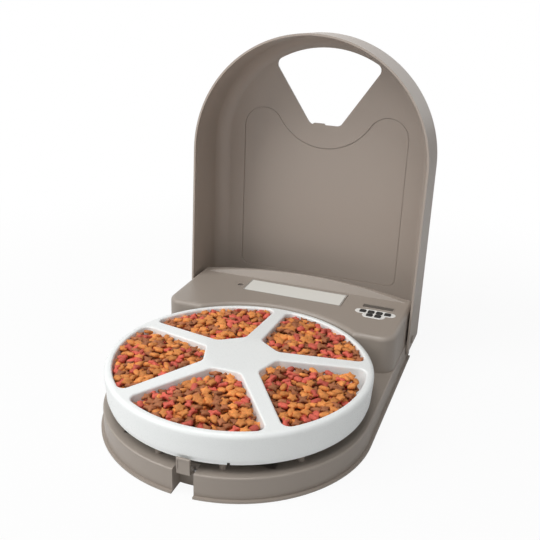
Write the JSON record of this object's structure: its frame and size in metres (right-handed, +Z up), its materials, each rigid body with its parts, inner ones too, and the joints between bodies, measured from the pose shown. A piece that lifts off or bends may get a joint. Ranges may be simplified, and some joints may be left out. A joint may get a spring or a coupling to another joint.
{
  "type": "automatic pet feeder",
  "caption": "Battery-powered pet feeder: a turning tray of separate food compartments on a base with a rear control housing, under a hinged lid with a carrying window.",
  "frame": {"origin": "middle of the bounding box with the lid open, on the floor; the tray turns about the upright line X = 0, Y = -0.0743 m", "axes": "+X to the user's right, -Y towards the front notch, +Z up"},
  "size_m": [0.3236, 0.468, 0.4202],
  "materials": {
    "taupe_shell": "fine moulded grain",
    "taupe_lid": "smooth satin moulding",
    "tray_white": "smooth glossy white",
    "label_cream": "satin film",
    "bezel_white": "printed film",
    "key_black": "matte silicone rubber",
    "lens_dark": "clear window over a dark display",
    "module_grey": "display block",
    "rubber_foot": "soft rubber",
    "screw_steel": "zinc plated",
    "pin_taupe": "moulded pin",
    "board_green": "solder mask",
    "switch_black": "moulded switch body",
    "well_grey": "moulded well",
    "cell_wrap": "plain wrapped can",
    "contact_nickel": "nickel plated spring steel",
    "motor_steel": "pressed can",
    "shaft_steel": "ground shaft",
    "gear_white": "acetal",
    "pinion_brass": "turned brass",
    "bush_bronze": "sintered bronze"
  },
  "bodies": {
    "base": {"base_bottom": "taupe_shell", "base_shell": "taupe_shell", "battery_cells": "cell_wrap", "battery_contacts": "contact_nickel", "battery_well": "well_grey", "board_screws": "screw_steel", "circuit_board": "board_green", "cover_screws": "screw_steel", "display_lens": "lens_dark", "display_module": "module_grey", "drive_bush": "bush_bronze", "gear_motor": "motor_steel", "hinge_pins": "pin_taupe", "housing_cover": "taupe_shell", "housing_screws": "screw_steel", "idler_axle": "shaft_steel", "index_switch": "switch_black", "keypad_bezel": "bezel_white", "label_plate": "label_cream", "latch_pin": "shaft_steel", "latch_spring": "contact_nickel", "motor_screws": "screw_steel", "rubber_feet": "rubber_foot", "tact_switches": "switch_black", "tray_spindle": "shaft_steel"},
    "lid": {"lid": "taupe_lid"},
    "turntable": {"tray": "tray_white", "drive_hub": "gear_white", "output_gear": "gear_white"},
    "idler": {"idler_gear": "gear_white"},
    "pinion": {"motor_pinion": "pinion_brass"},
    "latch": {"latch": "taupe_shell"},
    "battery_door": {"battery_door": "taupe_shell"},
    "key_1": {"key_1": "key_black"},
    "key_2": {"key_2": "key_black"},
    "key_3": {"key_3": "key_black"},
    "key_4": {"key_4": "key_black"},
    "key_5": {"key_5": "key_black"},
    "key_6": {"key_6": "key_black"}
  },
  "joints": [
    {"name": "lid_hinge", "type": "hinge", "parent": "base", "child": "lid", "pos_m": [0, 0.1572, 0.028], "axis": [1, 0, 0], "range_deg": [0, 93]},
    {"name": "tray_turn", "type": "hinge", "parent": "base", "child": "turntable", "pos_m": [0, -0.0743, 0], "axis": [0, 0, 1], "continuous": true},
    {"name": "idler_turn", "type": "hinge", "parent": "base", "child": "idler", "pos_m": [0.06539, 0.01908, 0], "axis": [0, 0, 1], "continuous": true},
    {"name": "pinion_turn", "type": "hinge", "parent": "base", "child": "pinion", "pos_m": [0.08286, 0.08428, 0], "axis": [0, 0, 1], "continuous": true},
    {"name": "latch_press", "type": "hinge", "parent": "base", "child": "latch", "pos_m": [0.0025, -0.2183, 0.0245], "axis": [-1, 0, 0], "range_deg": [0, 4], "stiffness_Nm_per_rad": 0.05, "springref_deg": -11.46},
    {"name": "door_slide", "type": "slide", "parent": "base", "child": "battery_door", "axis": [0, -1, 0], "range_m": [0, 0.07]},
    {"name": "key_1_press", "type": "slide", "parent": "base", "child": "key_1", "axis": [0, 0, -1], "range_m": [0, 0.001], "stiffness_N_per_m": 300, "springref_m": -0.001},
    {"name": "key_2_press", "type": "slide", "parent": "base", "child": "key_2", "axis": [0, 0, -1], "range_m": [0, 0.001], "stiffness_N_per_m": 300, "springref_m": -0.001},
    {"name": "key_3_press", "type": "slide", "parent": "base", "child": "key_3", "axis": [0, 0, -1], "range_m": [0, 0.001], "stiffness_N_per_m": 300, "springref_m": -0.001},
    {"name": "key_4_press", "type": "slide", "parent": "base", "child": "key_4", "axis": [0, 0, -1], "range_m": [0, 0.001], "stiffness_N_per_m": 300, "springref_m": -0.001},
    {"name": "key_5_press", "type": "slide", "parent": "base", "child": "key_5", "axis": [0, 0, -1], "range_m": [0, 0.001], "stiffness_N_per_m": 300, "springref_m": -0.001},
    {"name": "key_6_press", "type": "slide", "parent": "base", "child": "key_6", "axis": [0, 0, -1], "range_m": [0, 0.001], "stiffness_N_per_m": 300, "springref_m": -0.001}
  ],
  "couplings": [
    {"joint": "idler_turn", "follows": "tray_turn", "ratio": -0.9},
    {"joint": "pinion_turn", "follows": "tray_turn", "ratio": 7.2}
  ]
}
